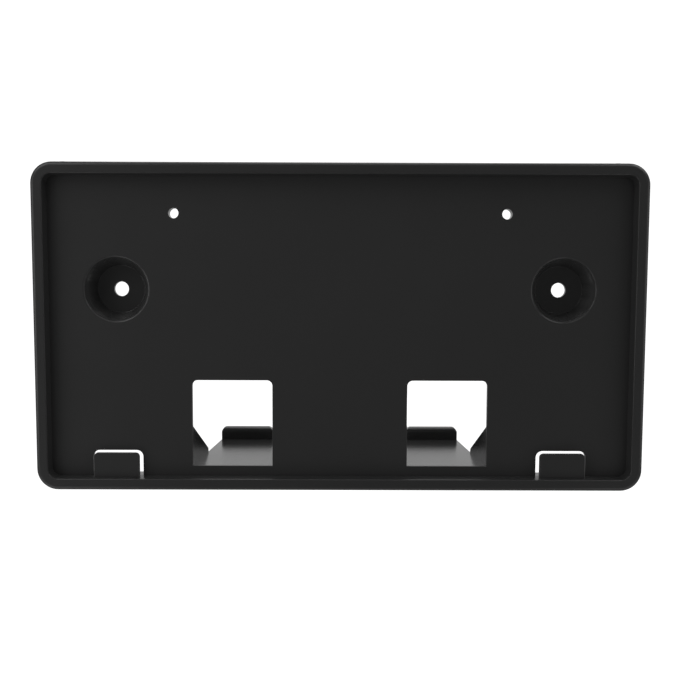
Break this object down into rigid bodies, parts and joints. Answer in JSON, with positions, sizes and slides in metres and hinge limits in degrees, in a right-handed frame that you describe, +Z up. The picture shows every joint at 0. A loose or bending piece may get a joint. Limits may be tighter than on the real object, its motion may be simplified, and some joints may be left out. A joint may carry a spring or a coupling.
{
  "type": "number plate holder",
  "caption": "Black moulded front number plate holder: a shallow rimmed tray with deep bolt pockets, plate screw holes, tongues for the plate's lower edge, and windows with hooked tabs behind.",
  "frame": {"origin": "midway between the two bumper bolts, on the flat backs of the pockets, which is the plane that meets the bumper", "axes": "+X to the right seen from the front, along the line of the two bumper bolts; +Y back towards the bumper, along the bolts; +Z up"},
  "size_m": [0.3326, 0.0861, 0.1805],
  "materials": {
    "black_plastic": "fine moulded grain, satin, dyed through in near-black"
  },
  "bodies": {
    "root": {"holder": "black_plastic"}
  },
  "joints": []
}
